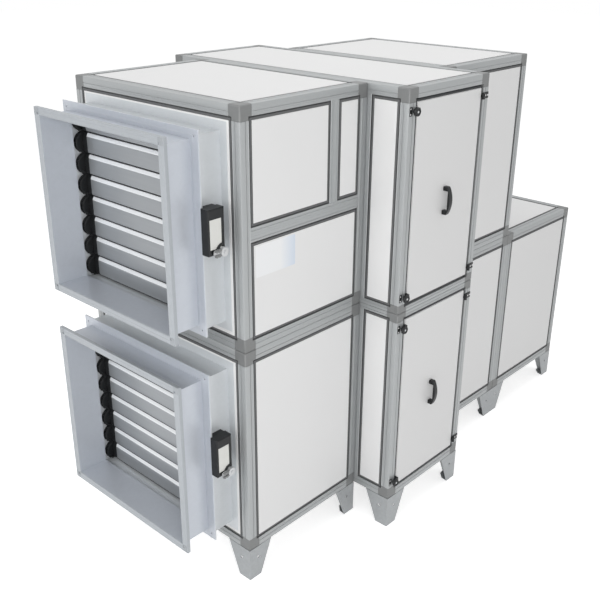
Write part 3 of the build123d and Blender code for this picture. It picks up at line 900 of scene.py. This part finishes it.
for deck in levels:
    node = f"{deck}_front_duct"
    low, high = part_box(node)
    middle = (low.z + high.z) / 2
    duct = place_piece(
        f"{node}_sheet", swept_round(node, duct_outline(low.x, high.x), middle), duct_sheet,
        "casing", node,
    )
    flange = place_piece(
        f"{node}_flange", swept_round(f"{node}_flange", flange_outline(low.x), middle),
        flange_metal, "casing",
    )
    y_hole, z_hole = duct_half_width + hole_from_opening, duct_half_height + hole_from_opening
    front_holes = [(y * y_hole, middle + z * z_hole) for y in (-1, 1) for z in (-1, 1)]
    cut_holes(flange, front_holes, low.x - drill_before, low.x + drill_past)
    y_hole, z_hole = high.y - back_hole_inset, (high.z - low.z) / 2 - back_hole_inset
    back_holes = [(y * y_hole, middle + z * z_hole) for y in (-1, 1) for z in (-1, 1)]
    cut_holes(duct, back_holes, high.x - drill_past, high.x + drill_before)
    plates = bmesh.new()
    for y_side in (-1, 1):
        for z_side in (-1, 1):
            reach = (corner_from, corner_to)
            y0, y1 = (y_side * (duct_half_width + out) for out in reach)
            z0, z1 = (middle + z_side * (duct_half_height + out) for out in reach)
            add_prism(plates, [
                [plates.verts.new((x, y, z)) for y, z in ((y0, z0), (y1, z0), (y1, z1), (y0, z1))]
                for x in (low.x, low.x + corner_thickness)
            ])
    corners = place_piece(
        f"{node}_corners", finished_mesh(f"{node}_corners", plates), corner_metal, "casing"
    )
    cut_holes(corners, front_holes, low.x - drill_before, low.x + drill_past)
    eased_copy(f"{deck}_damper_casing", damper_sheet, casing_fold)
    panel_low, panel_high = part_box(f"{deck}_damper_panel")
    casing_low, casing_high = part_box(f"{deck}_damper_casing")
    outer, inner = (
        [
            (y_side * (half_width + change), middle + z_side * (half_height + change))
            for y_side, z_side in ((-1, -1), (1, -1), (1, 1), (-1, 1))
        ]
        for half_width, half_height, change in (
            (panel_high.y, (panel_high.z - panel_low.z) / 2, -plate_margin),
            (casing_high.y, (casing_high.z - casing_low.z) / 2, -plate_opening),
        )
    )
    mounting = bmesh.new()
    face = panel_low.x
    rows = [
        [mounting.verts.new((x, y, z)) for y, z in ring]
        for x, ring in (
            (face, outer), (face - plate_thickness, outer), (face - plate_thickness, inner),
            (face, inner),
        )
    ]
    band_faces(mounting, rows)
    place_piece(
        f"{deck}_mounting_plate", finished_mesh(f"{deck}_mounting_plate", mounting), damper_sheet,
        "casing",
    )


# Aerofoil blades of extruded aluminium. A lip slopes back along each blade's upper edge, drawn in a
# pale copy of the blade's aluminium as a painted highlight where the light from above catches it; a
# black strip in the joint below paints the shadow under the blade above; and a black end cap
# carries the gear wheel, whose teeth run between a guard disc and a plain drum.
blade_colour = (0.32, 0.335, 0.35, 1)
lip_highlight_colour = (0.80, 0.82, 0.84, 1)
cap_colour = (0.012, 0.013, 0.014, 1)
blade_outline = (
    (0.0004, 0.0460), (-0.0032, 0.0385), (-0.0066, 0.0315), (-0.0074, 0.0290),
    (-0.0083, 0.0240), (-0.0085, 0.0180), (-0.0085, -0.0320), (-0.0080, -0.0380),
    (-0.0066, -0.0435), (-0.0050, -0.0450),
    (0.0008, -0.0470), (0.0030, -0.0440), (0.0056, -0.0375), (0.0074, -0.0310),
    (0.0083, -0.0250), (0.0085, -0.0180), (0.0085, 0.0340), (0.0079, 0.0400),
    (0.0058, 0.0450), (0.0020, 0.0465),
)
lip_outline = (
    (0.0006, 0.0470), (-0.0012, 0.0468), (-0.0052, 0.0400), (-0.0076, 0.0325), (-0.0080, 0.0300),
    (-0.0060, 0.0300), (-0.0036, 0.0370), (0.0006, 0.0450),
)
# A dark strip in each joint: painted shadow under the blade above.
joint_shadow_strip_outline = ((-0.0066, -0.0470), (-0.0066, -0.0440), (0.0040, -0.0440), (0.0040, -0.0470))
blade_start, blade_end = -0.427, 0.383
gear_start, gear_end = 0.411, 0.431
axle_end = 0.436
axle_radius = 0.006
axle_sides = 24
blade_count = 8
driven_blade = 4
cap_swell = 1.17
gear_teeth = 18
gear_pitch_radius = 0.050
gear_root_radius = 0.045
gear_tip_radius = 0.053
gear_backlash = radians(0.5)
hub_radius = 0.007
guard_radius = 0.0495
guard_sides = 48
guard_thickness = 0.003
toothed_width = 0.008
drum_start = gear_start + toothed_width
web_outline = ((0.0135, 0), (0.0150, 0.004), (0.0400, 0.004), (0.0415, 0))
guard_outline = (
    (0.0420, -guard_thickness), (0.0480, -guard_thickness),
    (guard_radius, 0.001 - guard_thickness), (guard_radius, 0), (0.0420, 0),
)
drawn_stretch = (1, 0.05, 1)

blade_metal, tree, shader = surface_material("extruded blade aluminium")
drawn = object_noise(tree, 60, 2.0, drawn_stretch)
tree.links.new(
    vary(tree, drawn, shade(blade_colour, 0.95), shade(blade_colour, 1.05)),
    shader.inputs["Base Color"],
)
shader.inputs["Metallic"].default_value = 0.5
shader.inputs["Roughness"].default_value = 0.36
# The lip is the blade's own aluminium, and its pale colour is a painted highlight.
lip_painted_highlight, tree, shader = surface_material("bright blade lip")
tree.links.new(
    vary(tree, object_noise(tree, 60, 2.0, drawn_stretch), shade(lip_highlight_colour, 0.97), lip_highlight_colour),
    shader.inputs["Base Color"],
)
shader.inputs["Metallic"].default_value = 0.2
shader.inputs["Roughness"].default_value = 0.3
gear_plastic, tree, shader = surface_material("black gear plastic")
tree.links.new(
    vary(tree, object_noise(tree, 300), shade(cap_colour, 0.85), shade(cap_colour, 1.2)),
    shader.inputs["Base Color"],
)
shader.inputs["Roughness"].default_value = 0.5
shader.inputs["Specular IOR Level"].default_value = 0.3


def drawn_along_y(shape, outline, start, end, x, z, swell=1.0):
    """A closed bar with an outline in X and Z, drawn along Y."""
    add_prism(shape, [
        [shape.verts.new((x + u * swell, y, z + v)) for u, v in outline] for y in (start, end)
    ])


def gear_ring(between):
    """Angles and radii round the toothed rim, three points to a tooth."""
    step = 2 * pi / gear_teeth
    share = (gear_tip_radius - gear_pitch_radius) / (gear_tip_radius - gear_root_radius)
    half_tip = (step / 4 - gear_backlash / 2 - share * step / 2) / (1 - share)
    points = []
    for i in range(gear_teeth):
        turn = (i + (0.5 if between else 0)) * step
        for angle, radius in (
            (-half_tip, gear_tip_radius), (half_tip, gear_tip_radius), (step / 2, gear_root_radius)
        ):
            points.append((turn + angle, radius))
    return points


def round_row(shape, x, z, y, points):
    """Vertices round a blade's axle at one place along it, from angles and radii."""
    return [
        shape.verts.new((x + radius * sin(turn), y, z + radius * cos(turn)))
        for turn, radius in points
    ]


def add_gear(shape, x, z, between):
    """A gear wheel with a sunk web, a round guard on its face and a plain drum behind its teeth."""
    # a row without a radius of its own follows the teeth
    rows = (
        (hub_radius, gear_start),
        *((radius, gear_start + depth) for radius, depth in web_outline),
        (None, gear_start), (None, drum_start),
        (guard_radius, drum_start), (guard_radius, gear_end), (hub_radius, gear_end),
    )
    teeth = gear_ring(between)
    band_faces(shape, [
        round_row(shape, x, z, y, [(turn, radius or tooth) for turn, tooth in teeth])
        for radius, y in rows
    ])
    guard_turns = [2 * pi * i / guard_sides for i in range(guard_sides)]
    band_faces(shape, [
        round_row(shape, x, z, gear_start + depth, [(turn, radius) for turn in guard_turns])
        for radius, depth in guard_outline
    ])


axle_turns = [2 * pi * i / axle_sides for i in range(axle_sides)]
axle_outline = [(axle_radius * cos(turn), axle_radius * sin(turn)) for turn in axle_turns]
for deck in levels:
    for number in range(1, blade_count + 1):
        node = f"{deck}_blade_{number}"
        body = body_with(node)
        low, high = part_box(node)
        x, z = (low.x + high.x) / 2, (low.z + high.z) / 2
        shape = bmesh.new()
        drawn_along_y(shape, blade_outline, blade_start, blade_end, x, z)
        place_piece(f"{node}_aerofoil", finished_mesh(node, shape), blade_metal, body, node)
        shape = bmesh.new()
        drawn_along_y(shape, lip_outline, blade_start, blade_end, x, z)
        place_piece(f"{node}_lip", finished_mesh(f"{node}_lip", shape), lip_painted_highlight, body)
        shape = bmesh.new()
        # The joint strip, a painted shadow, shares the gear's black plastic.
        drawn_along_y(shape, joint_shadow_strip_outline, blade_start, blade_end, x, z)
        drawn_along_y(shape, blade_outline, blade_end, gear_start, x, z, cap_swell)
        add_gear(shape, x, z, number % 2 == 0)
        place_piece(f"{node}_gear", finished_mesh(f"{node}_gear", shape), gear_plastic, body)
        shape = bmesh.new()
        axle_start = low.y if number == driven_blade else -axle_end
        drawn_along_y(shape, axle_outline, axle_start, axle_end, x, z)
        place_piece(f"{node}_axle", finished_mesh(f"{node}_axle", shape), turned_metal, body)


# A self-adhesive film label on the front side panel, left blank: white, going
# over softly to a plain pale blue at its rear end.
film_colour = (0.86, 0.87, 0.88, 1)
field_colour = (0.66, 0.73, 0.83, 1)
film_low, film_high = (-1.266, 1.566), (-1.029, 1.705)
field_start = -1.120
film_corner = 0.006
film_thickness = 0.0004
film_sunk = 0.0005


def add_slab(shape, outline, front, back):
    """A flat piece: its outline in X and Z, from one Y to another."""
    add_prism(shape, [[shape.verts.new((x, y, z)) for x, z in outline] for y in (front, back)])


film, tree, shader = surface_material("label film")
place = tree.nodes.new("ShaderNodeTexCoord")
axes = tree.nodes.new("ShaderNodeSeparateXYZ")
tree.links.new(place.outputs["Object"], axes.inputs["Vector"])
toward_end = tree.nodes.new("ShaderNodeMapRange")
toward_end.inputs["From Min"].default_value = field_start
toward_end.inputs["From Max"].default_value = film_high[0]
tree.links.new(axes.outputs["X"], toward_end.inputs["Value"])
tree.links.new(
    vary(tree, toward_end.outputs["Result"], film_colour, field_colour),
    shader.inputs["Base Color"],
)
tree.links.new(vary(tree, object_noise(tree, 30), 0.26, 0.34), shader.inputs["Roughness"])
beside_film = [
    low for low, high in separate_boxes("side_panels") if low.y < 0 and low.z < film_low[1] < high.z
]
panel_face = min(beside_film, key=lambda low: low.x).y
corners = (
    (film_high[0], film_high[1], 0), (film_low[0], film_high[1], 90),
    (film_low[0], film_low[1], 180), (film_high[0], film_low[1], 270),
)
film_outline = [
    (
        x - film_corner * (1 if x > film_low[0] else -1) + film_corner * cos(radians(turn + step)),
        z - film_corner * (1 if z > film_low[1] else -1) + film_corner * sin(radians(turn + step)),
    )
    for x, z, turn in corners
    for step in range(0, 91, 18)
]
shape = bmesh.new()
add_slab(shape, film_outline, panel_face - film_thickness, panel_face + film_sunk)
place_piece("blank_label", finished_mesh("blank_label", shape), film, "casing")


# The actuators: black moulded boxes on the dampers' near side, each with a
# blank pale label plate, a raised arc where the angle is read, and below it the
# ribbed metal clamp on the driven axle, with its jaw, bolts and nuts.
label_colour = (0.72, 0.72, 0.69, 1)
label_left, label_right, label_bottom, label_top = 0.006, 0.021, 0.017, 0.042
label_thickness = 0.0012
scale_thickness = 0.0045
scale_inner, scale_outer = 0.025, 0.038
scale_angles = range(78, 199, 8)
sunk = 0.001
clamp_ribs = 24
rib_depth = 0.07
clamp_sides = 96
jaw_outline = (
    (0.002, -0.0165), (0.002, 0.0165), (-0.045, 0.0150), (-0.052, 0.0110), (-0.054, 0.0),
    (-0.052, -0.0110), (-0.045, -0.0150),
)
bolt_outline = ((-0.050, -0.0032), (0, -0.0032), (0, 0.0032), (-0.050, 0.0032))
bolt_spacing = 0.0105
nut_places = (0.030, 0.043)
nut_radius = 0.0062
jaw_front, jaw_back = 0.0100, 0.0060
bolt_front, bolt_back = 0.0165, 0.0095
nut_front = 0.0185
clamp_outline = (
    (0.0062, 0.001), (0.0205, 0.001), (0.0205, 0.0050), (0.0180, 0.0058), (0.0180, 0.0072),
    (0.0205, 0.0080), (0.0205, 0.0120), (0.0180, 0.0128), (0.0180, 0.0142), (0.0203, 0.0150),
    (0.0203, 0.0165), (0.0180, 0.0170), (0.0062, 0.0170), (0.0062, 0.001),
)


label_plate, tree, shader = surface_material("blank label plate")
tree.links.new(
    vary(tree, object_noise(tree, 40), shade(label_colour, 0.96), shade(label_colour, 1.03)),
    shader.inputs["Base Color"],
)
shader.inputs["Roughness"].default_value = 0.35
for deck in levels:
    node = f"{deck}_actuator"
    eased_copy(node, black_plastic, 0.002)
    low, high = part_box(node)
    driven_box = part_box(f"{deck}_blade_4")
    axle = (driven_box[0] + driven_box[1]) / 2
    axle.y = low.y
    label_x = (low.x + label_left, high.x - label_right)
    label_z = (axle.z + label_bottom, high.z - label_top)
    label = [
        (label_x[0], label_z[0]), (label_x[1], label_z[0]), (label_x[1], label_z[1]),
        (label_x[0], label_z[1]),
    ]
    plate = bmesh.new()
    add_slab(plate, label, low.y - label_thickness, low.y + sunk)
    place_piece(f"{node}_label", finished_mesh(f"{node}_label", plate), label_plate, "casing")
    arc = [
        (axle.x + radius * cos(radians(angle)), axle.z + radius * sin(radians(angle)))
        for radius, angles in (
            (scale_outer, scale_angles), (scale_inner, reversed(scale_angles)),
        )
        for angle in angles
    ]
    rim = bmesh.new()
    add_slab(rim, arc, low.y - scale_thickness, low.y + sunk)
    place_piece(f"{node}_scale", finished_mesh(f"{node}_scale", rim), black_plastic, "casing")
    outwards = Vector((0, -1, 0))
    clamp = turned(clamp_outline, axle, outwards, clamp_sides, clamp_ribs, rib_depth)
    jaw = [(axle.x + along, axle.z + across) for along, across in jaw_outline]
    add_slab(clamp, jaw, low.y - jaw_front, low.y - jaw_back)
    bolts = bmesh.new()
    for side in (-1, 1):
        z = axle.z + side * bolt_spacing
        leg = [(axle.x + along, z + across) for along, across in bolt_outline]
        add_slab(bolts, leg, low.y - bolt_front, low.y - bolt_back)
        for nut_x in nut_places:
            nut = [
                (axle.x - nut_x + nut_radius * cos(turn), z + nut_radius * sin(turn))
                for turn in (radians(60 * i) for i in range(6))
            ]
            add_slab(bolts, nut, low.y - nut_front, low.y - bolt_back)
    body = body_with(f"{deck}_blade_4")
    place_piece(f"{node}_clamp", finished_mesh(f"{node}_clamp", clamp), turned_metal, body)
    place_piece(f"{node}_clamp_bolts", finished_mesh(f"{node}_bolts", bolts), cast_metal, body)
